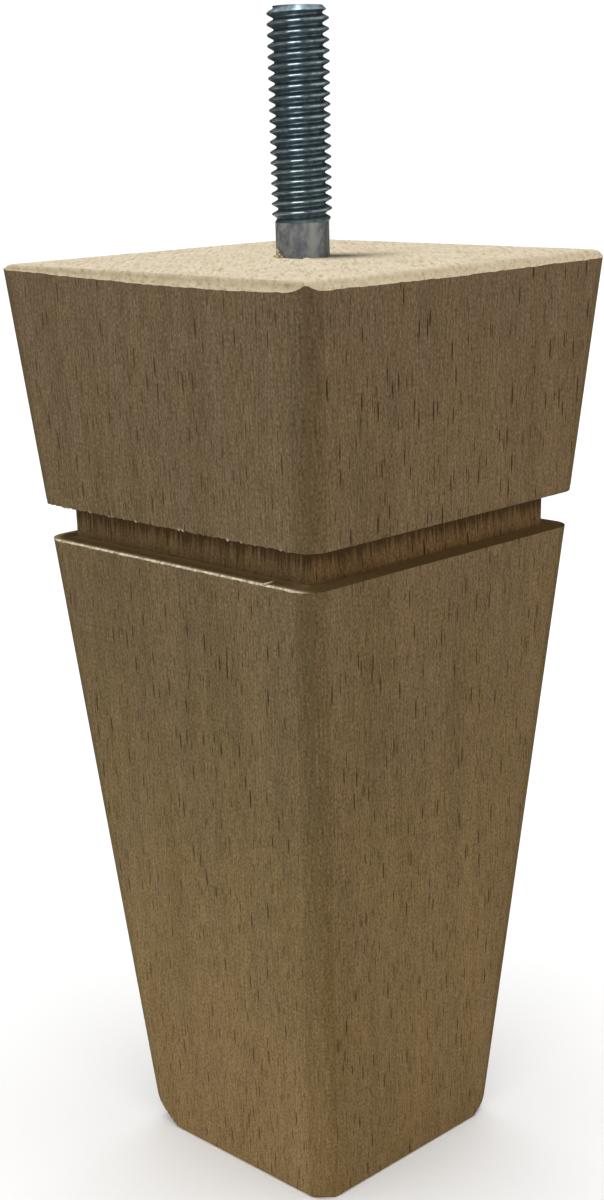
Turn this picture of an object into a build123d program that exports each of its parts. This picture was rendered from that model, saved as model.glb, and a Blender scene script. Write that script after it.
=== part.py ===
from build123d import *
import os

# Tapered square furniture leg of beech with a hanger bolt driven into its top.
# Millimetres. The origin is the middle of the foot, and +Z runs up the leg to the bolt.

# Wooden leg
leg_height = 130.0  # foot to top face
top_width = 58.0  # across the flats at the top face
foot_width = 38.0  # across the flats at the foot
edge_radius = 3.0  # rounding of the four long edges, the same from foot to top
top_chamfer = 1.0  # planed off the four top edges at 45 degrees
head_height = 31.5  # top face down to the groove
groove_width = 4.8  # height of the groove round the leg
groove_depth = 3.4  # cut in from the side at the middle of the groove

# Hanger bolt
thread_diameter = 7.9  # outside of a rolled M8 thread, within its tolerance
stand_out = 30.0  # top face up to the end of the bolt
thread_end_chamfer = 0.8  # at the upper end of the machine thread
bare_shank = 4.3  # smooth shank between the wood and the machine thread
thread_runout = 1.0  # height over which the thread grows out of the shank
shank_diameter = 7.1  # blank that the threads are rolled on
shank_in_wood = 5.0  # smooth shank below the top face
screw_core_diameter = 6.0  # core of the wood-screw end
screw_length = 35.0  # wood-screw end, with its point
point_length = 8.0  # tapered point of the wood-screw end

# Places worked out from the sizes above
groove_top = leg_height - head_height
groove_bottom = groove_top - groove_width
groove_middle = groove_bottom + groove_width / 2
width_at_groove = foot_width + (top_width - foot_width) * groove_middle / leg_height
groove_floor_width = width_at_groove - 2 * groove_depth
chamfered_width = top_width - 2 * top_chamfer
widest = max(top_width, foot_width)

bolt_top = leg_height + stand_out
thread_bottom = leg_height + bare_shank
screw_top = leg_height - shank_in_wood
screw_tip = screw_top - screw_length

os.makedirs("parts", exist_ok=True)

# Hanger bolt: one turned profile about the leg's axis, from the buried point up to the chamfered end.
with BuildPart() as hanger_bolt:
    with BuildSketch(Plane.XZ):
        with BuildLine():
            Polyline(
                (0, screw_tip),
                (screw_core_diameter / 2, screw_tip + point_length),
                (screw_core_diameter / 2, screw_top),
                (shank_diameter / 2, screw_top),
                (shank_diameter / 2, thread_bottom),
                (thread_diameter / 2, thread_bottom + thread_runout),
                (thread_diameter / 2, bolt_top - thread_end_chamfer),
                (thread_diameter / 2 - thread_end_chamfer, bolt_top),
                (0, bolt_top),
                close=True,
            )
        make_face()
    revolve(axis=Axis.Z)

hanger_bolt.part.label = "hanger_bolt"
export_step(hanger_bolt.part, "parts/hanger_bolt.step")

# Wooden leg: one block, tapered from top to foot, then grooved, chamfered and drilled.
with BuildPart() as wooden_leg:
    # Straight taper between two rounded squares
    with BuildSketch(Plane.XY):
        RectangleRounded(foot_width, foot_width, edge_radius)
    with BuildSketch(Plane.XY.offset(leg_height)):
        RectangleRounded(top_width, top_width, edge_radius)
    loft(ruled=True)

    # Four flat 45 degree chamfers at the top. They run straight past the rounded edges, so each
    # rounded edge reaches a little higher than the sides next to it.
    with BuildSketch(Plane.XY):
        Rectangle(chamfered_width + 2 * leg_height, chamfered_width + 2 * leg_height)
    with BuildSketch(Plane.XY.offset(leg_height)):
        Rectangle(chamfered_width, chamfered_width)
    loft(ruled=True, mode=Mode.INTERSECT)

    # Rectangular groove round all four sides, with an upright floor and sharp inner corners
    with BuildSketch(Plane.XY.offset(groove_bottom)):
        Rectangle(widest, widest)
        Rectangle(groove_floor_width, groove_floor_width, mode=Mode.SUBTRACT)
    extrude(amount=groove_width, mode=Mode.SUBTRACT)

    # Hole that the bolt is driven into, tight on the shank and the screw core
    add(hanger_bolt.part, mode=Mode.SUBTRACT)

wooden_leg.part.label = "wooden_leg"
export_step(wooden_leg.part, "parts/wooden_leg.step")
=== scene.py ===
import math

import bmesh
import bpy
import numpy as np
from mathutils import Matrix, Vector


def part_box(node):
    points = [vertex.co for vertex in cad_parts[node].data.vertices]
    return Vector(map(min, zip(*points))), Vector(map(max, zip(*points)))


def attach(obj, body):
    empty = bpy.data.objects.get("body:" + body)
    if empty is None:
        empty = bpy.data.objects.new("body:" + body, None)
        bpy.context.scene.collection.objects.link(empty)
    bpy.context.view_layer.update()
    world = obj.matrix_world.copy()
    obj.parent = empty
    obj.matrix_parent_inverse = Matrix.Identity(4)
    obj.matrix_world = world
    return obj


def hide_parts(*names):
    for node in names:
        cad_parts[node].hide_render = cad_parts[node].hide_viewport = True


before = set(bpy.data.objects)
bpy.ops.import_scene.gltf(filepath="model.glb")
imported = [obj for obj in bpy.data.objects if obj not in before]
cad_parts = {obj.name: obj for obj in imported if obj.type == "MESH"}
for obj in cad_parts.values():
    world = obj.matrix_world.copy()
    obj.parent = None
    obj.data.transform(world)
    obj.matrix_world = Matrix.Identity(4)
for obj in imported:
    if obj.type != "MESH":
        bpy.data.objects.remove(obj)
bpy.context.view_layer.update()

# Wooden leg
# One solid block of steamed beech, sawn to a taper, its long edges rounded over and a groove milled
# round it. The sides are sanded long grain, and the top and foot are bare sawn end grain.
MM = 0.001  # sizes are in millimetres, and a mesh is in metres
LEG_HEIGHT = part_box("wooden_leg")[1].z / MM
TOP_HALF = 29.0  # half the width across the flats
FOOT_HALF = 19.0
EDGE_RADIUS = 3.0
TOP_CHAMFER = 1.0
HEAD_HEIGHT = 31.5
GROOVE_WIDTH = 4.8
GROOVE_DEPTH = 3.4
GROOVE_CORNER = 0.15
GROOVE_TOP = LEG_HEIGHT - HEAD_HEIGHT
GROOVE_BOTTOM = GROOVE_TOP - GROOVE_WIDTH

# Hole for the bolt, a hair wider than the bolt
SHANK_RADIUS = 3.55
SCREW_CORE_RADIUS = 3.0
SHANK_IN_WOOD = 5.0
SCREW_LENGTH = 35.0
POINT_LENGTH = 8.0
HOLE_SLACK = 0.03

# Points along a straight side and a rounded edge, and rings up the leg
SIDES = 4
SIDE_STEPS = 220
ARC_STEPS = 16
PER_SIDE = SIDE_STEPS + ARC_STEPS
AROUND = SIDES * PER_SIDE
FOOT_RINGS = 9
BODY_RINGS = 18
BODY_RINGS_FROM = 8.0
GROOVE_RINGS = 6
HEAD_RINGS = 8
GROOVE_MARGIN = 0.8
CHAMFER_MARGIN = 0.5
LEG_SHARP_ANGLE = math.radians(25)

# Foot worn at its corners, by how far and how high, anticlockwise from the corner at +X and -Y
FOOT_EASE = 0.25
FOOT_CORNER_CUTS = np.array([1.0, 2.4, 2.0, 4.0])
FOOT_CORNER_HEIGHTS = np.array([2.0, 2.8, 2.6, 4.6])
FOOT_WEAR_CURVE = 1.5

# Edges of the groove: clean on three sides, and on the -Y side torn, frayed and hung with hairs
HEAD_EASE = 0.1
LEDGE_EASE = 0.05
TORN_EASE = 0.2
TORN_EASE_SWING = 0.3
LEDGE_SHOULDER = 0.06
LEDGE_LIP = 0.995
FRAY_MEAN = 0.75
FRAY_SWING = 0.45
FRAY_LEAST = 0.1
CLEAN_EDGE_WAVE = 0.02
TORN_EDGE_WAVE = 0.09
HAIRS_FROM = 0.55
HAIR_DROP_INSIDE = 0.25
HAIR_DROP_OUTSIDE = 0.2
HAIR_ROOTS = 0.25

# Rim of the top, rubbed unevenly: places count the sides from the left end of the -Y side, and the extra
# is how much wider than its nominal size the chamfer is there. Each corner, in the order of the foot's
# corners, keeps a share of the bump that flat chamfers leave on it.
CORNER_BUMP = np.array([1.0, 0.3, 0.3, 0.15])
RIM_PLACES = np.array([0.0, 0.1, 0.3, 0.55, 0.8, 1.0, 1.4, 1.75, 2.0, 2.5, 3.0, 3.5, 4.0])
RIM_EXTRA = np.array([-0.42, -0.27, 0.04, 0.34, 0.38, 0.05, 0.22, 0.07, 0.03, -0.1, 0.1, -0.1, -0.42])
RIM_WAVE = 0.05
RIM_EXTRA_ON_TOP = 0.6
# Reach beyond the chamfer's upper edge, and drop below the top face, of the rings that round it over
ROUND_OVER = ((0.35, 0.36), (0.12, 0.17), (-0.12, 0.06), (-0.4, 0.0))
TABLE_REACH = -0.9
TABLE_SHARES = (0.0, 0.25, 0.5, 0.75, 0.93)  # of the way in to the hole
MOUTH_LIP_WIDTH = 1.06
MOUTH_LIP_RISE = 0.08
MOUTH_LIP_WAVE = 0.06
MOUTH_LIP_DROP = 0.1

# Waves round the leg, and the seed of their phases, in each uneven edge
LEDGE_RIPPLE = [31, 57, 94, 133, 211], 3
FRAY_RIPPLE = [37, 71, 118, 190, 277], 6
TEAR_RIPPLE = [23, 61, 107, 171, 229], 8
HAIR_RIPPLE = [19, 43, 88, 150, 260, 333], 21
RIM_RIPPLE = [17, 29, 47, 83, 121], 12
MOUTH_RIPPLE = [5, 9, 14], 5
RIPPLE_GAIN = 1.8


def half_width(height):
    """Half the width across the flats at a height: a straight line from the foot to the top."""
    return FOOT_HALF + (TOP_HALF - FOOT_HALF) * height / LEG_HEIGHT


def rounded_square(half, radius):
    """Outline of a square with rounded corners, anticlockwise from above, from the left end of the -Y
    side. Each side is a straight run of even steps along its tangent, then a quarter circle from its
    own normal to the next side's normal."""
    angle = np.arange(SIDES) * math.pi / 2 - math.pi / 2
    normal = np.stack([np.cos(angle), np.sin(angle)], 1)[:, None]
    tangent = np.stack([-np.sin(angle), np.cos(angle)], 1)[:, None]
    run = np.linspace(-1, 1, SIDE_STEPS, endpoint=False)[None, :, None]
    turn = np.linspace(0, math.pi / 2, ARC_STEPS, endpoint=False)[None, :, None]
    straight = half * normal + (half - radius) * run * tangent
    centre = (half - radius) * (normal + tangent)
    corner = centre + radius * (np.cos(turn) * normal + np.sin(turn) * tangent)
    return np.concatenate([straight, corner], 1).reshape(-1, 2)


def worn_corners(outline, height):
    """Outline with its corners rubbed off near the foot: no point reaches further along a diagonal than
    the rounded corner does, less that corner's cut, which fades out with height along a curve."""
    x, y = outline.T
    corner = np.where(x > 0, np.where(y < 0, 0, 1), np.where(y < 0, 3, 2))
    fade = np.clip(1 - height / FOOT_CORNER_HEIGHTS[corner], 0, 1) ** FOOT_WEAR_CURVE
    reach = 2 * half_width(height) - EDGE_RADIUS * (2 - math.sqrt(2)) - FOOT_CORNER_CUTS[corner] * fade
    excess = np.clip(np.abs(outline).sum(1) - reach, 0, None)
    return outline - np.sign(outline) * excess[:, None] / 2


def ripple(waves, seed):
    """Smooth closed noise round the leg, between about -1 and 1: the mean of sines of whole wave numbers
    with phases drawn at random, times a gain."""
    rng = np.random.default_rng(seed)
    angle = np.linspace(0, 2 * math.pi, AROUND, endpoint=False)[:, None]
    phase = rng.uniform(0, 2 * math.pi, len(waves))
    return np.sin(angle * np.array(waves) + phase).mean(1) * RIPPLE_GAIN


def skin(name, rings, start, end):
    """Closed smooth mesh through a stack of rings of equal length: quads between neighbouring rings, a
    fan from the point start to the first ring, and a fan from the last ring to the point end."""
    count = len(rings[0])
    stacked = np.concatenate([*rings, [start], [end]]) * MM
    here = np.arange(count)
    after = (here + 1) % count
    base = np.arange(len(rings) - 1)[:, None] * count
    quads = np.stack([base + here, base + after, base + count + after, base + count + here], 2)
    first = np.stack([np.full(count, len(stacked) - 2), after, here], 1)
    last_base = (len(rings) - 1) * count
    last = np.stack([np.full(count, len(stacked) - 1), last_base + here, last_base + after], 1)
    faces = [*first.tolist(), *quads.reshape(-1, 4).tolist(), *last.tolist()]
    mesh = bpy.data.meshes.new(name)
    mesh.from_pydata(stacked.tolist(), [], faces)
    mesh.shade_smooth()
    return mesh


def mark(mesh, name, values):
    """Gives each point of a mesh a value that its material reads by name."""
    layer = mesh.attributes.new(name, "FLOAT", "POINT")
    layer.data.foreach_set("value", values.astype(np.float32))


def dress(name, mesh, *materials):
    """Object at the origin with the mesh and its materials."""
    piece = bpy.data.objects.new(name, mesh)
    bpy.context.collection.objects.link(piece)
    for material in materials:
        mesh.materials.append(material)
    return piece


# Finishes, in the order of the leg's materials
LONG_GRAIN, MILLED, CROSS_CUT, END_GRAIN = range(4)
stack = []


def lay(outline, height, finish, torn_and_highlit=0.0):
    """Adds an outline to the stack of rings, lifted to a height that may differ from point to point, with
    the finish of the band above it and how far its points are torn and painted pale, partly as torn fibre
    and partly as a painted highlight."""
    ring = np.column_stack([outline, np.broadcast_to(height, AROUND)])
    stack.append((ring, finish, np.broadcast_to(torn_and_highlit, AROUND)))


# Share of torn fibre: full along the -Y side, gone by the middle of the edges beside it.
place_round = np.arange(AROUND)
half_arc = ARC_STEPS / 2
torn_share = np.clip(1 - (place_round - SIDE_STEPS) / half_arc, 0, 1) * (place_round < AROUND / 2)
torn_share = torn_share + np.clip(1 - (AROUND - place_round) / half_arc, 0, 1)
on_edge = (place_round % PER_SIDE >= SIDE_STEPS).astype(float)

# Foot and body
foot_outline = rounded_square(FOOT_HALF - FOOT_EASE, EDGE_RADIUS - FOOT_EASE)
lay(worn_corners(foot_outline, 0.0), 0.0, LONG_GRAIN)
foot_heights = np.linspace(FOOT_EASE, FOOT_CORNER_HEIGHTS.max(), FOOT_RINGS)
body_heights = np.linspace(BODY_RINGS_FROM, GROOVE_BOTTOM - GROOVE_MARGIN, BODY_RINGS)
for height in (*foot_heights, *body_heights):
    lay(worn_corners(rounded_square(half_width(height), EDGE_RADIUS), height), height, LONG_GRAIN)

# Frayed lower edge of the groove, its ledge and its floor
ledge = rounded_square(half_width(GROOVE_BOTTOM), EDGE_RADIUS)
rough = 1 + TORN_EASE_SWING * ripple(*LEDGE_RIPPLE)
ease = LEDGE_EASE + (TORN_EASE - LEDGE_EASE) * torn_share * rough
frayed = torn_share * np.clip(FRAY_MEAN + FRAY_SWING * ripple(*FRAY_RIPPLE), FRAY_LEAST, 1)
ledge_back = ledge * (1 - ease / half_width(GROOVE_BOTTOM))[:, None]
lay(ledge, GROOVE_BOTTOM - ease - LEDGE_SHOULDER, LONG_GRAIN)
lay(ledge, GROOVE_BOTTOM - ease, LONG_GRAIN, frayed)
lay(ledge_back, GROOVE_BOTTOM, LONG_GRAIN, frayed)
lay(ledge_back * LEDGE_LIP, GROOVE_BOTTOM, CROSS_CUT)
floor_half = half_width((GROOVE_BOTTOM + GROOVE_TOP) / 2) - GROOVE_DEPTH
groove_floor = rounded_square(floor_half, GROOVE_CORNER)
for height in np.linspace(GROOVE_BOTTOM, GROOVE_TOP, GROOVE_RINGS):
    lay(groove_floor, height, MILLED)

# Torn upper edge of the groove, and the head
wave = CLEAN_EDGE_WAVE + (TORN_EDGE_WAVE - CLEAN_EDGE_WAVE) * torn_share
tear = wave * ripple(*TEAR_RIPPLE)
hairs = np.clip(ripple(*HAIR_RIPPLE) - HAIRS_FROM, 0, 1) * torn_share
brow = rounded_square(half_width(GROOVE_TOP), EDGE_RADIUS)
brow_under = brow * (1 - HEAD_EASE / half_width(GROOVE_TOP))
lay(brow_under, GROOVE_TOP + tear - HAIR_DROP_INSIDE * hairs, LONG_GRAIN, hairs)
lay(brow, GROOVE_TOP + HEAD_EASE + tear - HAIR_DROP_OUTSIDE * hairs, LONG_GRAIN, hairs)
lay(brow, GROOVE_TOP + HEAD_EASE + HAIR_ROOTS, LONG_GRAIN)
head_bottom = GROOVE_TOP + GROOVE_MARGIN
for height in np.linspace(head_bottom, LEG_HEIGHT - TOP_CHAMFER - CHAMFER_MARGIN, HEAD_RINGS):
    lay(rounded_square(half_width(height), EDGE_RADIUS), height, LONG_GRAIN)

# The chamfers are flat planes: reach plus height is the same all over each of them, so a rounded edge,
# which reaches less far out, comes up as a bump between them. All bumps but the first have been rubbed
# down, so the chamfer nearly runs round their corners.
slope = (TOP_HALF - FOOT_HALF) / LEG_HEIGHT
top_outline = rounded_square(TOP_HALF, EDGE_RADIUS)
outward = rounded_square(TOP_HALF + 1, EDGE_RADIUS + 1) - top_outline  # for each millimetre out
bump = np.repeat(CORNER_BUMP, PER_SIDE)
set_back = bump * (TOP_HALF - np.abs(top_outline).max(1))
sanded = np.interp(place_round / AROUND * SIDES, RIM_PLACES, RIM_EXTRA)
sanded = sanded + RIM_WAVE * ripple(*RIM_RIPPLE)
rim_height = (TOP_HALF - TOP_CHAMFER - sanded + LEG_HEIGHT - FOOT_HALF + set_back) / (1 + slope)
narrowing = TOP_HALF - half_width(rim_height)
rim_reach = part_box("wooden_leg")[1].x / MM
rim = np.clip(top_outline - np.sign(top_outline) * narrowing[:, None], -rim_reach, rim_reach)
lay(rim, rim_height, END_GRAIN)
chamfer_top = TOP_HALF - TOP_CHAMFER - RIM_EXTRA_ON_TOP * sanded


def planed(reach):
    """Top outline drawn in to a reach beyond the chamfer's upper edge: cut off straight at a corner that
    keeps its bump, inset round a corner that has lost it, and in between by its share."""
    limit = (chamfer_top + reach)[:, None]
    inset = top_outline - outward * (TOP_HALF - limit)
    return inset + (np.clip(top_outline, -limit, limit) - inset) * bump[:, None]


for reach, drop in ROUND_OVER:
    lay(planed(reach), LEG_HEIGHT - drop, END_GRAIN)

# Top face, in to the lip that the bolt has pushed up round its hole, and down the hole
table = planed(TABLE_REACH)
heading = np.arctan2(table[:, 1], table[:, 0])
mouth = (SHANK_RADIUS + HOLE_SLACK) * np.column_stack([np.cos(heading), np.sin(heading)])
pilot = mouth * (SCREW_CORE_RADIUS + HOLE_SLACK) / (SHANK_RADIUS + HOLE_SLACK)
screw_top = LEG_HEIGHT - SHANK_IN_WOOD
screw_tip = screw_top - SCREW_LENGTH
for share in TABLE_SHARES:
    lay(table * (1 - share) + mouth * share, LEG_HEIGHT, END_GRAIN)
lip = LEG_HEIGHT + MOUTH_LIP_RISE + MOUTH_LIP_WAVE * ripple(*MOUTH_RIPPLE)
lay(mouth * MOUTH_LIP_WIDTH, lip, END_GRAIN)
lay(mouth, LEG_HEIGHT - MOUTH_LIP_DROP, END_GRAIN)
lay(mouth, screw_top, END_GRAIN)
lay(pilot, screw_top, END_GRAIN)
lay(pilot, screw_tip + POINT_LENGTH, END_GRAIN)

rings, bands, torn_rings = zip(*stack)
leg_mesh = skin("wooden_leg_sanded", rings, (0.0, 0.0, 0.0), (0.0, 0.0, screw_tip - HOLE_SLACK))
fan = np.full(AROUND, END_GRAIN)
face_finish = np.concatenate([fan, np.repeat(bands[:-1], AROUND), fan])
leg_mesh.polygons.foreach_set("material_index", face_finish.astype(np.int32))
leg_mesh.set_sharp_from_angle(angle=LEG_SHARP_ANGLE)

# Each side, in order -Y, +X, +Y and -X, has its own lean of the grain, and its rays show more or less
# clearly. A pale painted fill light lies in the corner of the groove on the torn side, and thinly on the
# ledge of the others, lightening the shade there. Painted shade lies on the chamfers, more on some sides
# than on others, and fades out on to the top face.
GRAIN_LEAN = np.array([0.06, -0.09, 0.05, -0.04])
SIDE_SPACING = 97.0  # keeps the patterns of the sides apart
RAY_STRENGTH = np.array([0.75, 1.0, 0.85, 0.95])
BODY_RAYS = np.array([1.15, 0.85, 1.0, 1.0])
RAY_LOSS_ON_EDGES = 0.6
PAINTED_FILL_SPREAD = 2.4
LEDGE_PAINTED_FILL = 0.28
# Painted shade on the chamfers, stronger on the sides whose chamfers catch more light
CHAMFER_SHADE = np.array([1.0, 0.48, 0.7, 0.7])
CHAMFER_SHADE_PLACES = [-0.9, 0.0, 0.35, 0.9]  # beyond the chamfer's upper edge
CHAMFER_SHADE_DEPTHS = [0.0, 0.8, 1.0, 0.6]
points = np.stack(rings)
point_height = points[:, :, 2]
point_reach = np.abs(points[:, :, :2]).max(2)
side_of = (place_round + ARC_STEPS // 2) // PER_SIDE % SIDES
turned = side_of * math.pi / 2
along_side = points[:, :, 0] * np.cos(turned) + points[:, :, 1] * np.sin(turned)
across_grain = along_side - GRAIN_LEAN[side_of] * point_height + SIDE_SPACING * side_of
ray_strength = RAY_STRENGTH[side_of] * (1 - RAY_LOSS_ON_EDGES * on_edge)
ray_strength = ray_strength * np.where(point_height < GROOVE_BOTTOM, BODY_RAYS[side_of], 1.0)
corner_gap = np.hypot(point_reach - floor_half, point_height - GROOVE_BOTTOM)
# Painted fill light in the groove's corner on the torn side, and thinly on the other ledges
painted_fill_depth = np.clip(1 - corner_gap / PAINTED_FILL_SPREAD, 0, 1) * torn_share
painted_fill_depth = painted_fill_depth + LEDGE_PAINTED_FILL * (point_height == GROOVE_BOTTOM) * (1 - torn_share)
# Painted shade on the chamfers, fading out on to the top face
chamfer_shade_depth = CHAMFER_SHADE[side_of] * np.interp(point_reach - chamfer_top, CHAMFER_SHADE_PLACES, CHAMFER_SHADE_DEPTHS)
chamfer_shade_depth = chamfer_shade_depth * (point_height > LEG_HEIGHT - 2 * TOP_CHAMFER)
poles = np.zeros(2)
for name, values in (
    ("across", across_grain * MM),
    ("rays", ray_strength),
    ("chamfer_shade", chamfer_shade_depth),
    ("dust_and_painted_fill", painted_fill_depth),
    ("torn_and_highlit", np.stack(torn_rings)),
    ("edge", on_edge),
):
    mark(leg_mesh, name, np.concatenate([np.broadcast_to(values, point_height.shape).ravel(), poles]))


def linear(hex_colour):
    """sRGB hex to linear RGBA, by the sRGB curve."""
    value = np.array([int(hex_colour[i : i + 2], 16) for i in (1, 3, 5)]) / 255
    return (*np.where(value <= 0.04045, value / 12.92, ((value + 0.055) / 1.055) ** 2.4), 1.0)


def new_material(name):
    """Empty node material."""
    material = bpy.data.materials.new(name)
    material.use_nodes = True
    material.node_tree.nodes.clear()
    return material


def add_node(tree, kind, inputs=None, **settings):
    """Adds a node, sets its properties, then feeds each input: a socket is linked, a value is set."""
    made = tree.nodes.new(kind)
    for name, value in settings.items():
        setattr(made, name, value)
    for name, value in (inputs or {}).items():
        if isinstance(value, bpy.types.NodeSocket):
            tree.links.new(value, made.inputs[name])
        else:
            made.inputs[name].default_value = value
    return made


def per_mm(*sizes):
    """Scale that makes one unit of a pattern as large as the sizes given in millimetres."""
    return tuple(1 / (size * MM) for size in sizes)


# Size of one cell of each pattern in millimetres, across and along the grain. Single fibres are too fine
# to show, so they are drawn as bundles.
PATCH_CELL = (6.0, 20.0, 1.0)
STREAK_CELL = (0.45, 9.0, 1.0)
# Bundles of fibres, their fuzz and broad bands, each with its detail and its swing in lightness
FIBRES = ((0.3, 4.0, 3.0, 0.24), (0.26, 0.45, 2.0, 0.36), (4.0, 60.0, 2.0, 0.09))
FIBRE_TINT = np.array([1.0, 1.0, 1.5])  # the swing is wider in blue, so dark fibres are yellower
# A few strong rays among many faint ones, each with its least and largest size as a share of its cell,
# and its darkness
RAYS = ((0.95, 9.0, -0.06, 0.17, 1.0), (0.6, 6.0, -0.04, 0.17, 0.8), (0.33, 3.0, -0.1, 0.22, 0.45))
PINK_FROM = 60.0  # height on the leg
# Colour of the cutter's scorch and of the painted shade at the top of the groove
SCORCH_AND_SHADE_COLOUR = "#3A2400"
# Torn fibre: its own pale wood, and a painted highlight where the torn edge faces up
TORN_FIBRE_AND_HIGHLIGHT = "#D8CBB2"


def long_grain(name, olive, pink, ray_colour, edge_finish_and_shade, roughness, scorch_and_shade):
    """Beech cut along the grain: patches of two tones, pinker towards the top, broad bands, close fibres
    and the short dark dashes of the rays, all drawn out along the grain. Scorch and shade is how dark the
    top
    of the groove is painted: the cutter's scorch, from where streaks hang down, and painted shade under the
    brow. Rounded edges take a darker tint, partly their own finish and partly painted shade, and torn fibre
    is pale, partly its own pale wood and partly a painted highlight on the edge that faces up."""
    material = new_material(name)
    tree = material.node_tree
    place = add_node(tree, "ShaderNodeTexCoord").outputs["Object"]
    height = add_node(tree, "ShaderNodeSeparateXYZ", {"Vector": place}).outputs["Z"]
    across, clearness, edge, torn_and_highlit = (
        add_node(tree, "ShaderNodeAttribute", attribute_name=mark_name).outputs["Fac"]
        for mark_name in ("across", "rays", "edge", "torn_and_highlit")
    )
    grain = add_node(tree, "ShaderNodeCombineXYZ", {"X": across, "Y": height}).outputs[0]

    patch_space = add_node(tree, "ShaderNodeMapping", {"Vector": grain, "Scale": per_mm(*PATCH_CELL)})
    patches = add_node(
        tree,
        "ShaderNodeTexNoise",
        {"Vector": patch_space.outputs[0], "Scale": 1.0, "Detail": 3.0},
        noise_dimensions="2D",
    )
    patch_share = add_node(
        tree,
        "ShaderNodeMapRange",
        {"Value": patches.outputs[0], "From Min": 0.35, "From Max": 0.65, "To Max": 0.3},
    )
    head_share = add_node(
        tree,
        "ShaderNodeMapRange",
        {"Value": height, "From Min": PINK_FROM * MM, "From Max": LEG_HEIGHT * MM, "To Max": 0.78},
    )
    pinkness = add_node(
        tree, "ShaderNodeMath", {0: patch_share.outputs[0], 1: head_share.outputs[0]}, operation="ADD"
    )
    coloured = add_node(
        tree,
        "ShaderNodeMixRGB",
        {"Fac": pinkness.outputs[0], "Color1": linear(olive), "Color2": linear(pink)},
    )

    bundles = []
    for wide, long, detail, swing in FIBRES:
        space = add_node(tree, "ShaderNodeMapping", {"Vector": grain, "Scale": per_mm(wide, long, 1.0)})
        pattern = add_node(
            tree,
            "ShaderNodeTexNoise",
            {"Vector": space.outputs[0], "Scale": 1.0, "Detail": detail, "Roughness": 0.6},
            noise_dimensions="2D",
        )
        share = add_node(
            tree, "ShaderNodeMapRange", {"Value": pattern.outputs[0], "From Min": 0.25, "From Max": 0.75}
        )
        lightness = add_node(
            tree,
            "ShaderNodeMixRGB",
            {
                "Fac": share.outputs[0],
                "Color1": (*(1 - swing * FIBRE_TINT), 1.0),
                "Color2": (*(1 + swing * FIBRE_TINT), 1.0),
            },
        )
        coloured = add_node(
            tree,
            "ShaderNodeMixRGB",
            {"Fac": 1.0, "Color1": coloured.outputs[0], "Color2": lightness.outputs[0]},
            blend_type="MULTIPLY",
        )
        bundles.append(pattern)

    # Each cell of a Voronoi pattern holds one ray, with a size of its own, and those with a size below
    # nothing are left out.
    for wide, long, least, largest, darkness in RAYS:
        space = add_node(tree, "ShaderNodeMapping", {"Vector": grain, "Scale": per_mm(wide, long, 1.0)})
        rays = add_node(
            tree,
            "ShaderNodeTexVoronoi",
            {"Vector": space.outputs[0], "Scale": 1.0},
            voronoi_dimensions="2D",
        )
        lot = add_node(tree, "ShaderNodeTexWhiteNoise", {"Vector": rays.outputs["Color"]})
        ray_size = add_node(
            tree, "ShaderNodeMapRange", {"Value": lot.outputs["Value"], "To Min": least, "To Max": largest}
        )
        inside = add_node(
            tree,
            "ShaderNodeMath",
            {0: ray_size.outputs[0], 1: rays.outputs["Distance"]},
            operation="SUBTRACT",
        )
        dark = add_node(
            tree,
            "ShaderNodeMapRange",
            {"Value": inside.outputs[0], "From Min": -0.02, "From Max": 0.05, "To Max": darkness},
            interpolation_type="SMOOTHSTEP",
        )
        ray_share = add_node(
            tree, "ShaderNodeMath", {0: dark.outputs[0], 1: clearness}, operation="MULTIPLY"
        )
        coloured = add_node(
            tree,
            "ShaderNodeMixRGB",
            {"Fac": ray_share.outputs[0], "Color1": coloured.outputs[0], "Color2": linear(ray_colour)},
        )

    if scorch_and_shade:
        streak_space = add_node(tree, "ShaderNodeMapping", {"Vector": grain, "Scale": per_mm(*STREAK_CELL)})
        streaks = add_node(
            tree,
            "ShaderNodeTexNoise",
            {"Vector": streak_space.outputs[0], "Scale": 1.0, "Detail": 3.0},
            noise_dimensions="2D",
        )
        # Darkest at the top of the groove: the cutter's scorch, and painted shade under the brow
        hang = add_node(
            tree,
            "ShaderNodeMapRange",
            {
                "Value": height,
                "From Min": GROOVE_BOTTOM * MM,
                "From Max": GROOVE_TOP * MM,
                "To Min": -0.8,
                "To Max": 0.22,
            },
        )
        reached = add_node(
            tree, "ShaderNodeMath", {0: streaks.outputs[0], 1: hang.outputs[0]}, operation="ADD"
        )
        burnt_and_shaded = add_node(
            tree, "ShaderNodeMapRange", {"Value": reached.outputs[0], "From Max": 0.42, "To Max": scorch_and_shade}
        )
        coloured = add_node(
            tree,
            "ShaderNodeMixRGB",
            {"Fac": burnt_and_shaded.outputs[0], "Color1": coloured.outputs[0], "Color2": linear(SCORCH_AND_SHADE_COLOUR)},
        )

    # Rounded edges take a darker tint: partly their own finish, partly painted shade
    rounded = add_node(
        tree,
        "ShaderNodeMixRGB",
        {"Fac": edge, "Color1": coloured.outputs[0], "Color2": linear(edge_finish_and_shade)},
        blend_type="MULTIPLY",
    )
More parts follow.
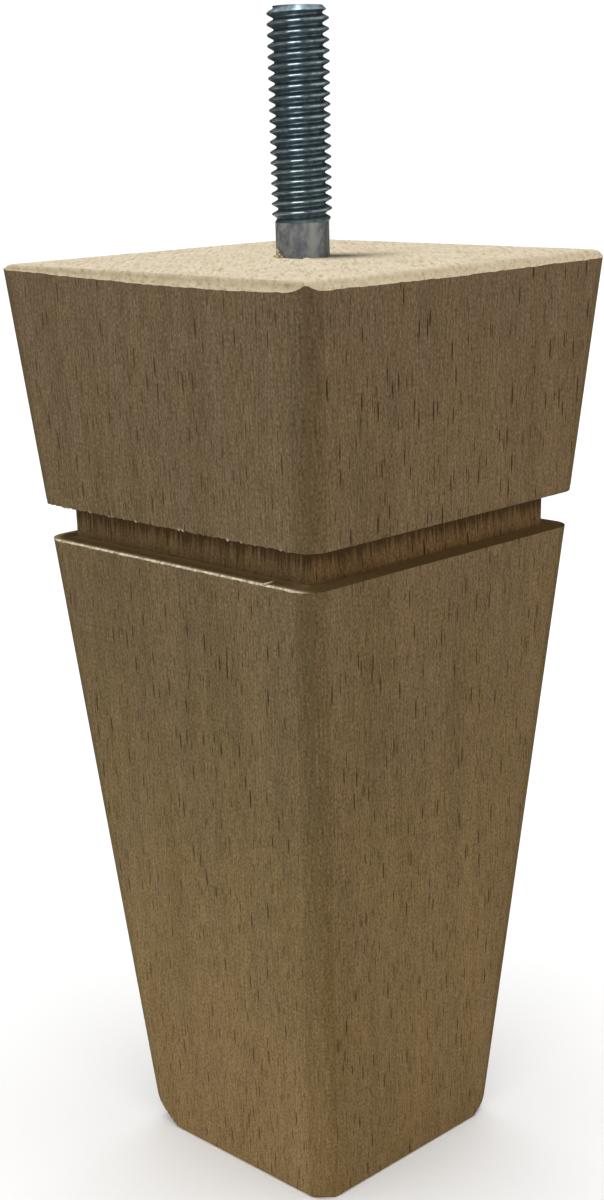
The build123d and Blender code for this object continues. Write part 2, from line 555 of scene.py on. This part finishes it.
    # Torn fibre painted pale: partly the wood's own pale colour, partly a painted highlight
    finished = add_node(
        tree,
        "ShaderNodeMixRGB",
        {"Fac": torn_and_highlit, "Color1": rounded.outputs[0], "Color2": linear(TORN_FIBRE_AND_HIGHLIGHT)},
        use_clamp=True,
    )
    relief = add_node(
        tree, "ShaderNodeBump", {"Height": bundles[0].outputs[0], "Strength": 0.2, "Distance": 0.03 * MM}
    )
    shader = add_node(
        tree,
        "ShaderNodeBsdfPrincipled",
        {
            "Base Color": finished.outputs[0],
            "Roughness": roughness,
            "IOR": 1.5,
            "Specular IOR Level": 0.18,
            "Normal": relief.outputs[0],
        },
    )
    add_node(tree, "ShaderNodeOutputMaterial", {"Surface": shader.outputs[0]})
    return material


SAW_TURN = (0.0, 0.0, math.radians(-45))
# Pale tone of the painted fill light that lightens shade in the groove
PAINTED_FILL_TONE = "#DDC08C"
# Tint of the painted shade on the chamfers
CHAMFER_SHADE_TINT = "#C6C1B5"


def cut_end_grain(name, pale, golden, brown, smudge, smudge_share):
    """Beech cut across the grain: fuzzy fibre ends in a mottle of pale and golden, crumbs of brown along
    the marks of the saw, and broad smudges where a sander has rubbed it. A pale painted fill light lightens
    it where shade gathers in the groove, and painted shade darkens it on the chamfers."""
    material = new_material(name)
    tree = material.node_tree
    place = add_node(tree, "ShaderNodeTexCoord").outputs["Object"]
    dust_and_painted_fill, chamfer_shade = (
        add_node(tree, "ShaderNodeAttribute", attribute_name=mark_name).outputs["Fac"]
        for mark_name in ("dust_and_painted_fill", "chamfer_shade")
    )
    sawn = add_node(tree, "ShaderNodeMapping", {"Vector": place, "Rotation": SAW_TURN}).outputs[0]

    # Size of one cell of each mottle in millimetres, across and along the saw marks, where it starts and
    # is full, its colour and share. Single pores are too fine to show, so tufts of fibre ends are drawn.
    mottles = []
    under = linear(pale)
    for wide, long, start, full, colour, share in (
        (0.5, 3.5, 0.42, 0.64, golden, 0.9),
        (0.55, 5.0, 0.52, 0.68, brown, 0.8),
        (5.0, 5.0, 0.42, 0.68, smudge, smudge_share),
    ):
        space = add_node(tree, "ShaderNodeMapping", {"Vector": sawn, "Scale": per_mm(wide, long, wide)})
        mottle = add_node(
            tree,
            "ShaderNodeTexNoise",
            {"Vector": space.outputs[0], "Scale": 1.0, "Detail": 4.0, "Roughness": 0.7},
        )
        amount = add_node(
            tree,
            "ShaderNodeMapRange",
            {"Value": mottle.outputs[0], "From Min": start, "From Max": full, "To Max": share},
        )
        under = add_node(
            tree,
            "ShaderNodeMixRGB",
            {"Fac": amount.outputs[0], "Color1": under, "Color2": linear(colour)},
        ).outputs[0]
        mottles.append(mottle)

    # Painted fill light: a pale tone that lightens the shade in the groove's corner and ledges
    fill_lit = add_node(tree, "ShaderNodeMixRGB", {"Fac": dust_and_painted_fill, "Color1": under, "Color2": linear(PAINTED_FILL_TONE)})
    # Painted shade on the chamfers
    chamfer_shaded = add_node(
        tree,
        "ShaderNodeMixRGB",
        {"Fac": chamfer_shade, "Color1": fill_lit.outputs[0], "Color2": linear(CHAMFER_SHADE_TINT)},
        blend_type="MULTIPLY",
    )
    relief = add_node(
        tree, "ShaderNodeBump", {"Height": mottles[0].outputs[0], "Strength": 0.5, "Distance": 0.1 * MM}
    )
    shader = add_node(
        tree,
        "ShaderNodeBsdfPrincipled",
        {
            "Base Color": chamfer_shaded.outputs[0],
            "Roughness": 0.85,
            "IOR": 1.5,
            "Specular IOR Level": 0.2,
            "Normal": relief.outputs[0],
        },
    )
    add_node(tree, "ShaderNodeOutputMaterial", {"Surface": shader.outputs[0]})
    return material


# Sanded steamed beech is a dull olive brown with a pinkish cast towards the top, painted darker than the
# wood is as painted shade of the sides. The groove is the same wood, browner, with the cutter's scorch
# streaks and painted shade at its top under the brow, and a cross-cut ledge painted dark as painted shade
# under the head.
# End grain left bare is cream, and painted darker on the chamfers as painted shade.
# The side and groove colours are partly the steamed wood's own brown and partly painted shade of the sides
sanded_beech = long_grain("sanded_beech", "#73603D", "#6A5840", "#3A2400", "#F1F0E8", 0.62, 0.0)
milled_beech = long_grain("milled_beech", "#735D39", "#755D3C", "#2D1C03", "#FFFFFF", 0.7, 0.88)
# Painted shade: the ledge's end grain is far darker than the top's cream, standing in for the shade under
# the head
ledge_beech_shaded = cut_end_grain("shaded_cross_cut_beech", "#867049", "#7B633D", "#675331", "#745E3E", 0.5)
sawn_beech = cut_end_grain("sawn_beech_end_grain", "#DED3BD", "#CEBC9A", "#A59070", "#C4B596", 0.5)

leg = dress("wooden_leg_sanded", leg_mesh, sanded_beech, milled_beech, ledge_beech_shaded, sawn_beech)
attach(leg, "root")
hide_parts("wooden_leg")

# Torn bits of wood
# Crumbs pushed up by the bolt beside its shank, and one splinter left by the cutter on the edge of the
# groove. All are broken beech, still held by their fibres.
BIT_STEPS = 12
BIT_ROWS = 7
CRUMB_LUMPS = (0.75, 1.15)
CRUMB_SPAN = 0.9
CRUMBS = np.array(
    [
        # Place from the middle of the top face, half length, half width
        [-0.6, -3.75, 0.25, 0.42, 0.3],
        [-1.1, -3.7, 0.2, 0.34, 0.26],
        [-1.5, -3.45, 0.3, 0.3, 0.24],
        [-0.95, -3.6, 0.75, 0.3, 0.2],
        [-1.3, -3.5, 1.0, 0.22, 0.16],
        [-0.1, -3.85, 0.15, 0.3, 0.2],
        [-1.9, -3.4, 0.12, 0.28, 0.22],
    ]
)
# Path from the middle of the groove's lower plane
SPLINTER = np.array([[17.6, -26.2, -0.05], [18.1, -26.05, 0.12], [18.6, -25.85, 0.32], [19.0, -25.65, 0.5]])
SPLINTER_THICKNESS = np.array([0.1, 0.13, 0.1, 0.05])

# Broken beech shows its pale fibres, with golden and dark brown ends.
broken_beech = cut_end_grain("broken_beech", "#D8CBAB", "#A8946E", "#4A371C", "#6B5536", 0.6)
bits = []


def place_bit(name, rings, start, end):
    """Makes one torn bit and hands it to the frame."""
    bit = dress(name, skin(name, rings, start, end), broken_beech)
    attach(bit, "root")
    bits.append(bit)


# A crumb is an ellipsoid with its radius varied at random from point to point.
bit_turn = np.linspace(0, 2 * math.pi, BIT_STEPS, endpoint=False)
for number, (x, y, lift, half_length, half_breadth) in enumerate(CRUMBS):
    lumps = np.random.default_rng(number).uniform(*CRUMB_LUMPS, (BIT_ROWS, BIT_STEPS))
    rise = np.linspace(-CRUMB_SPAN, CRUMB_SPAN, BIT_ROWS)
    girth = np.sqrt(1 - rise**2)[:, None] * lumps
    centre = np.array([x, y, LEG_HEIGHT + lift])
    layers = np.stack(
        [
            half_breadth * girth * np.cos(bit_turn),
            half_breadth * girth * np.sin(bit_turn),
            np.broadcast_to(half_length * rise[:, None], girth.shape),
        ],
        2,
    )
    pole = np.array([0.0, 0.0, half_length])
    place_bit(f"wood_crumb_{number + 1}", list(centre + layers), centre - pole, centre + pole)

# The splinter is a row of upright rings along its path, each as thick as the path is there.
hoop = np.stack([np.zeros(BIT_STEPS), np.cos(bit_turn), np.sin(bit_turn)], 1)
path = SPLINTER + np.array([0.0, 0.0, GROOVE_BOTTOM])
sliver = path[:, None] + SPLINTER_THICKNESS[:, None, None] * hoop
place_bit("wood_splinter", list(sliver), path[0], path[-1])

# Hanger bolt
# Zinc-plated steel: a rolled M8 machine thread above a smooth shank, and a coarse wood-screw end that is
# driven into the middle of the leg.
BOLT_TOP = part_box("hanger_bolt")[1].z / MM
THREAD_RADIUS = 3.95
THREAD_PITCH = 1.25
THREAD_DEPTH = 0.82
THREAD_START = 0.24  # share of a turn
THREAD_END_CHAMFER = 0.8
THREAD_RUNOUT = 1.0
CREST_FLAT = 0.27
CREST_EASE = 0.25
BARE_SHANK = 4.3
SCREW_PITCH = 3.4
SCREW_RADIUS = 3.9
BLADE_HALF = 0.18  # share of a pitch
BLADE_FADE = 2.0
BOLT_STEPS = 128
THREAD_ROWS = 28
SCREW_ROWS = 12
SHANK_ROWS = 6
SHANK_MARGIN = 0.2
WELD = 0.0005 * MM
BOLT_SHARP_ANGLE = math.radians(40)

# Wear and painted light: places and widths on the shank are angles round the axis from +X.
END_DULLNESS = 0.2
END_MARGIN = 0.02
FACE_MARGIN = 0.01
FLANK_EDGE = 0.08
BARE_MARGIN = 0.1
# Painted highlight line down the shank, and two painted shade streaks beside it
HIGHLIGHT_PLACE = math.radians(-24)
HIGHLIGHT_WIDTH = math.radians(9)
PAINTED_SHADES = ((math.radians(-55), math.radians(16)), (math.radians(14), math.radians(9)))

thread_bottom = LEG_HEIGHT + BARE_SHANK
bolt_turn = np.linspace(0, 2 * math.pi, BOLT_STEPS + 1)


def ridge(share):
    """Height of a V thread over one pitch, from 0 at the root to 1 at the crest: a triangle wave cut off
    at both ends, with its corners eased by a share of a sine."""
    triangle = 1 - 4 * np.abs(share % 1 - 0.5)
    wave = np.clip(triangle / (1 - CREST_FLAT), -1, 1)
    return 0.5 + 0.5 * (CREST_EASE * np.sin(wave * math.pi / 2) + (1 - CREST_EASE) * wave)


def helix(bottom, top, pitch, rows, radius_at):
    """Rows of points along a screw surface: each row rises by one pitch in a turn, and radius_at gives
    the radius from the share of a pitch and the height. Rows past either end lie on that end."""
    rise = np.arange(-pitch, top - bottom + pitch / rows, pitch / rows)[:, None]
    height = np.clip(bottom + rise + pitch * bolt_turn / (2 * math.pi), bottom, top)
    radius = radius_at(np.broadcast_to(rise / pitch, height.shape), height)
    return np.stack([radius * np.cos(bolt_turn), radius * np.sin(bolt_turn), height], 2)


def circle(radius, height):
    """One plain row of the bolt: a circle at a height."""
    level = np.full(len(bolt_turn), height)
    return np.stack([radius * np.cos(bolt_turn), radius * np.sin(bolt_turn), level], 1)[None]


def end_cone(height):
    """Radius of the chamfer at the upper end: it loses as much as it rises."""
    return THREAD_RADIUS - THREAD_END_CHAMFER + BOLT_TOP - height


def machine_radius(share, height):
    """Thread between its run-out, where it grows out of the shank, and its end chamfer."""
    grown = np.clip((height - thread_bottom) / THREAD_RUNOUT, 0, 1)
    crest = SHANK_RADIUS + (THREAD_RADIUS - SHANK_RADIUS) * grown
    root = SHANK_RADIUS + (THREAD_RADIUS - THREAD_DEPTH - SHANK_RADIUS) * grown
    return np.minimum(root + (crest - root) * ridge(share + THREAD_START), end_cone(height))


def screw_radius(share, height):
    """Thin sharp ridge round the core, both drawn in to nothing at the point."""
    taper = np.clip((height - screw_tip) / POINT_LENGTH, 0, 1)
    blade = np.clip(1 - np.abs(share % 1 - 0.5) / BLADE_HALF, 0, 1)
    fade = np.clip((screw_top - height) / BLADE_FADE, 0, 1)
    return taper * (SCREW_CORE_RADIUS + (SCREW_RADIUS - SCREW_CORE_RADIUS) * blade * fade)


screw_rows = helix(screw_tip, screw_top, SCREW_PITCH, SCREW_ROWS, screw_radius)
shank_heights = np.linspace(screw_top, thread_bottom - SHANK_MARGIN, SHANK_ROWS)
shank_rows = [circle(SHANK_RADIUS, height) for height in shank_heights]
thread_rows = helix(thread_bottom, BOLT_TOP, THREAD_PITCH, THREAD_ROWS, machine_radius)
rows = np.concatenate([screw_rows, *shank_rows, thread_rows, circle(0.0, BOLT_TOP)])
corner = np.arange(rows.shape[0] * rows.shape[1]).reshape(rows.shape[:2])
quads = np.stack([corner[:-1, :-1], corner[:-1, 1:], corner[1:, 1:], corner[1:, :-1]], 2).reshape(-1, 4)
bolt_mesh = bpy.data.meshes.new("hanger_bolt_threaded")
bolt_mesh.from_pydata((rows.reshape(-1, 3) * MM).tolist(), [], quads.tolist())

# The two ends of a row meet, and rows past an end of the thread fall together.
work = bmesh.new()
work.from_mesh(bolt_mesh)
bmesh.ops.remove_doubles(work, verts=work.verts, dist=WELD)
bmesh.ops.dissolve_degenerate(work, edges=work.edges, dist=WELD)
work.to_mesh(bolt_mesh)
work.free()
bolt_mesh.shade_smooth()
bolt_mesh.set_sharp_from_angle(angle=BOLT_SHARP_ANGLE)

# Depth in the thread, upper flanks that take painted shade, bare shank, and the painted highlight line
# (above 0) and painted shade streaks (below 0) on the shank
bolt_points = np.zeros(len(bolt_mesh.vertices) * 3)
bolt_mesh.vertices.foreach_get("co", bolt_points)
bolt_x, bolt_y, bolt_height = bolt_points.reshape(-1, 3).T / MM
radius = np.hypot(bolt_x, bolt_y)
bearing = np.arctan2(bolt_y, bolt_x)
depth = np.clip((THREAD_RADIUS - radius) / THREAD_DEPTH, 0, 1)
on_end = (radius > end_cone(bolt_height) - END_MARGIN) | (bolt_height > BOLT_TOP - FACE_MARGIN)
on_thread = (bolt_height > thread_bottom) & ~on_end
phase = ((bolt_height - thread_bottom) / THREAD_PITCH - bearing / (2 * math.pi) + THREAD_START) % 1
# Painted shade on the upper flanks of the thread
upper_flank = np.clip((phase - 0.5) / FLANK_EDGE, 0, 1) * np.clip((1 - phase) / FLANK_EDGE, 0, 1)
# Painted highlight above 0, painted shade below 0
sheen_and_shade = np.exp(-(((bearing - HIGHLIGHT_PLACE) / HIGHLIGHT_WIDTH) ** 2))
for shade_place, shade_width in PAINTED_SHADES:
    sheen_and_shade = sheen_and_shade - np.exp(-(((bearing - shade_place) / shade_width) ** 2))
mark(bolt_mesh, "root", np.where(on_end, END_DULLNESS, depth * on_thread))
mark(bolt_mesh, "painted_flank_shade", upper_flank * (bolt_height > thread_bottom))
mark(bolt_mesh, "bare", bolt_height < thread_bottom + BARE_MARGIN)
mark(bolt_mesh, "painted_sheen_and_shade", sheen_and_shade)

# Bright blue zinc plating on rolled steel: a cool grey metal, its upper flanks painted darker and its lower
# flanks and roots lighter as painted shade and painted reflection, shiny on its crests and specked with
# dust.
# The bare shank is dull and mottled, with one painted highlight line and two painted shade streaks. Drawn
# lines are too fine to show there, so the mottle is drawn coarser.
DUST_CELL = (0.7, 0.7, 0.5)
DRAWN_CELL = (0.8, 0.8, 1.3)
CREST_AND_ROOT = ((0.3, 0.05, "#85949B"), (0.8, 0.97, "#617076"))  # depth where each starts and is full

zinc = new_material("zinc_plated_steel")
tree = zinc.node_tree
place = add_node(tree, "ShaderNodeTexCoord").outputs["Object"]
root, painted_flank_shade, bare, painted_sheen_and_shade = (
    add_node(tree, "ShaderNodeAttribute", attribute_name=mark_name).outputs["Fac"]
    for mark_name in ("root", "painted_flank_shade", "bare", "painted_sheen_and_shade")
)
# Painted shade and painted reflection: upper flanks darker, lower flanks and roots lighter
plated = add_node(
    tree, "ShaderNodeMixRGB", {"Fac": painted_flank_shade, "Color1": linear("#61747B"), "Color2": linear("#4B5B61")}
)
for start, full, colour in CREST_AND_ROOT:
    amount = add_node(tree, "ShaderNodeMapRange", {"Value": root, "From Min": start, "From Max": full})
    plated = add_node(
        tree,
        "ShaderNodeMixRGB",
        {"Fac": amount.outputs[0], "Color1": plated.outputs[0], "Color2": linear(colour)},
    )
dust_space = add_node(tree, "ShaderNodeMapping", {"Vector": place, "Scale": per_mm(*DUST_CELL)})
dust_and_painted_fill = add_node(tree, "ShaderNodeTexNoise", {"Vector": dust_space.outputs[0], "Scale": 1.0, "Detail": 3.0})
dust_light = add_node(
    tree,
    "ShaderNodeMapRange",
    {"Value": dust_and_painted_fill.outputs[0], "From Min": 0.3, "From Max": 0.7, "To Min": 0.6, "To Max": 1.4},
)
specked = add_node(
    tree,
    "ShaderNodeMixRGB",
    {"Fac": 1.0, "Color1": plated.outputs[0], "Color2": dust_light.outputs[0]},
    blend_type="MULTIPLY",
)
drawn_space = add_node(tree, "ShaderNodeMapping", {"Vector": place, "Scale": per_mm(*DRAWN_CELL)})
drawn = add_node(
    tree,
    "ShaderNodeTexNoise",
    {"Vector": drawn_space.outputs[0], "Scale": 1.0, "Detail": 5.0, "Roughness": 0.65},
)
drawn_share = add_node(
    tree, "ShaderNodeMapRange", {"Value": drawn.outputs[0], "From Min": 0.3, "From Max": 0.7}
)
dull = add_node(
    tree,
    "ShaderNodeMixRGB",
    {"Fac": drawn_share.outputs[0], "Color1": linear("#3E3F4A"), "Color2": linear("#8B9190")},
)
# Painted highlight and painted shade on the bare shank
highlighted = add_node(
    tree, "ShaderNodeMixRGB", {"Fac": painted_sheen_and_shade, "Color1": dull.outputs[0], "Color2": linear("#858A86")}
)
shade_share = add_node(tree, "ShaderNodeMapRange", {"Value": painted_sheen_and_shade, "From Max": -1.0, "To Max": 0.55})
shaded = add_node(
    tree,
    "ShaderNodeMixRGB",
    {"Fac": shade_share.outputs[0], "Color1": highlighted.outputs[0], "Color2": linear("#3C3E47")},
)
metal = add_node(
    tree, "ShaderNodeMixRGB", {"Fac": bare, "Color1": specked.outputs[0], "Color2": shaded.outputs[0]}
)
flank_gloss = add_node(
    tree, "ShaderNodeMapRange", {"Value": root, "From Max": 0.3, "To Min": 0.2, "To Max": 0.42}
)
roughness = add_node(
    tree, "ShaderNodeMath", {0: bare, 1: 0.32, 2: flank_gloss.outputs[0]}, operation="MULTIPLY_ADD"
)
bright = add_node(tree, "ShaderNodeMapRange", {"Value": bare, "To Min": 0.72, "To Max": 0.15})
shader = add_node(
    tree,
    "ShaderNodeBsdfPrincipled",
    {"Base Color": metal.outputs[0], "Metallic": bright.outputs[0], "Roughness": roughness.outputs[0]},
)
add_node(tree, "ShaderNodeOutputMaterial", {"Surface": shader.outputs[0]})

bolt = dress("hanger_bolt_threaded", bolt_mesh, zinc)
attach(bolt, "root")
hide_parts("hanger_bolt")

# Floor, camera and light
# A white paper floor under a bright ceiling. The wood has a high key light at the left, a softbox in
# front of each side that shows and a low fill, and the bolt has windows of its own to reflect.
FLOOR_HALF = 4.0
floor_corners = FLOOR_HALF * np.array([[-1, -1, 0], [1, -1, 0], [1, 1, 0], [-1, 1, 0]])
floor_mesh = bpy.data.meshes.new("floor")
floor_mesh.from_pydata(floor_corners.tolist(), [], [(0, 1, 2, 3)])
# Matt white paper, plain so that nothing draws the eye from the leg
paper = new_material("white_paper")
tree = paper.node_tree
shader = add_node(tree, "ShaderNodeBsdfPrincipled", {"Base Color": linear("#FAFAFA"), "Roughness": 0.9})
add_node(tree, "ShaderNodeOutputMaterial", {"Surface": shader.outputs[0]})
floor = dress("floor", floor_mesh, paper)
floor.visible_glossy = False  # keeps the underside of the thread dark

# The backdrop is white to look at, and gives little light.
world = bpy.data.worlds.new("studio")
bpy.context.scene.world = world
world.use_nodes = True
tree = world.node_tree
tree.nodes.clear()
seen = add_node(tree, "ShaderNodeLightPath").outputs["Is Camera Ray"]
glow = add_node(tree, "ShaderNodeBackground", {"Color": linear("#FFFFFF"), "Strength": 0.05})
white = add_node(tree, "ShaderNodeBackground", {"Color": linear("#FFFFFF"), "Strength": 1.05})
sky = add_node(tree, "ShaderNodeMixShader", {"Fac": seen, 1: glow.outputs[0], 2: white.outputs[0]})
add_node(tree, "ShaderNodeOutputWorld", {"Surface": sky.outputs[0]})

CAMERA_TURN = math.radians(45.244)
CAMERA_PITCH = math.radians(23.019)
CAMERA_ROLL = math.radians(-1.483)
CAMERA_PLACE = np.array([177.182, -178.879, 147.410])
FOCAL_PIXELS = 1802.2
FRAME_HEIGHT = 1200
FRAME_CENTRE_DROP = 280
NEAREST_SEEN = 0.01


def facing(turn, pitch):
    """Unit vector from the leg towards a light or camera at an azimuth from -Y and a height angle."""
    return np.array([math.sin(turn) * math.cos(pitch), -math.cos(turn) * math.cos(pitch), math.sin(pitch)])


back = facing(CAMERA_TURN, CAMERA_PITCH)
level = np.array([math.cos(CAMERA_TURN), math.sin(CAMERA_TURN), 0.0])
upright = np.cross(back, level)
right = math.cos(CAMERA_ROLL) * level + math.sin(CAMERA_ROLL) * upright
up = math.cos(CAMERA_ROLL) * upright - math.sin(CAMERA_ROLL) * level
camera_data = bpy.data.cameras.new("camera")
camera_data.lens = camera_data.sensor_width * FOCAL_PIXELS / FRAME_HEIGHT
camera_data.shift_y = FRAME_CENTRE_DROP / FRAME_HEIGHT
camera_data.clip_start = NEAREST_SEEN
camera = bpy.data.objects.new("camera", camera_data)
bpy.context.collection.objects.link(camera)
pose = np.eye(4)
pose[:3] = np.column_stack([right, up, back, CAMERA_PLACE * MM])
camera.matrix_world = Matrix(pose.tolist())
bpy.context.scene.camera = camera
bpy.context.scene.view_settings.view_transform = "Standard"

CEILING_SPREAD = math.radians(110)
FILL_SPREAD = math.radians(36)


def softbox(name, turn, pitch, distance, size, power, aim, colour="#FFFFFF"):
    """Rectangular area light, at degrees from the camera's azimuth and above the floor, that looks at a
    point on the leg's axis from a distance. Metres and watts."""
    data = bpy.data.lights.new(name, "AREA")
    data.shape = "RECTANGLE"
    data.size, data.size_y = size
    data.energy = power
    data.color = linear(colour)[:3]
    lamp = bpy.data.objects.new(name, data)
    bpy.context.collection.objects.link(lamp)
    direction = Vector(facing(CAMERA_TURN + math.radians(turn), math.radians(pitch)))
    lamp.location = Vector((0, 0, aim)) + direction * distance
    lamp.rotation_euler = direction.to_track_quat("Z", "Y").to_euler()
    return lamp


def overhead(name, strength):
    """Light from the whole of a white ceiling."""
    data = bpy.data.lights.new(name, "SUN")
    data.energy = strength
    data.angle = CEILING_SPREAD
    lamp = bpy.data.objects.new(name, data)
    bpy.context.collection.objects.link(lamp)
    return lamp


def lights_only(lamp, *pieces):
    """Keeps a light to some pieces, as flags and cards do in a studio."""
    lit = bpy.data.collections.new(lamp.name + "_lit")
    for piece in pieces:
        lit.objects.link(piece)
    lamp.light_linking.receiver_collection = lit


wood = (leg, *bits)
lights_only(overhead("floor_ceiling", 3.6), floor)
lights_only(overhead("ceiling", 0.2), *wood)
lights_only(overhead("bolt_ceiling", 2.85), bolt)
lights_only(softbox("key", -85, 77, 1.5, (0.45, 0.45), 21.9, 0.1), *wood)
lights_only(softbox("front_softbox", -56, 10, 0.6, (0.3, 0.3), 0.98, 0.08), *wood)
lights_only(softbox("right_softbox", 75, 12, 0.6, (0.35, 0.35), 1.4, 0.07, "#FFECD6"), *wood)
low_fill = softbox("low_fill", -18, 5, 0.3, (0.2, 0.03), 0.037, -0.015, "#FFF2E0")
low_fill.data.spread = FILL_SPREAD
lights_only(softbox("end_lamp", 180, 87, 0.4, (0.06, 0.06), 0.3, 0.16), bolt)
lights_only(softbox("window", -16, 0, 0.6, (0.5, 0.24), 2.0, 0.145), bolt)
lights_only(softbox("side_window", 75, 0, 0.6, (0.8, 0.4), 0.9, 0.145), bolt)
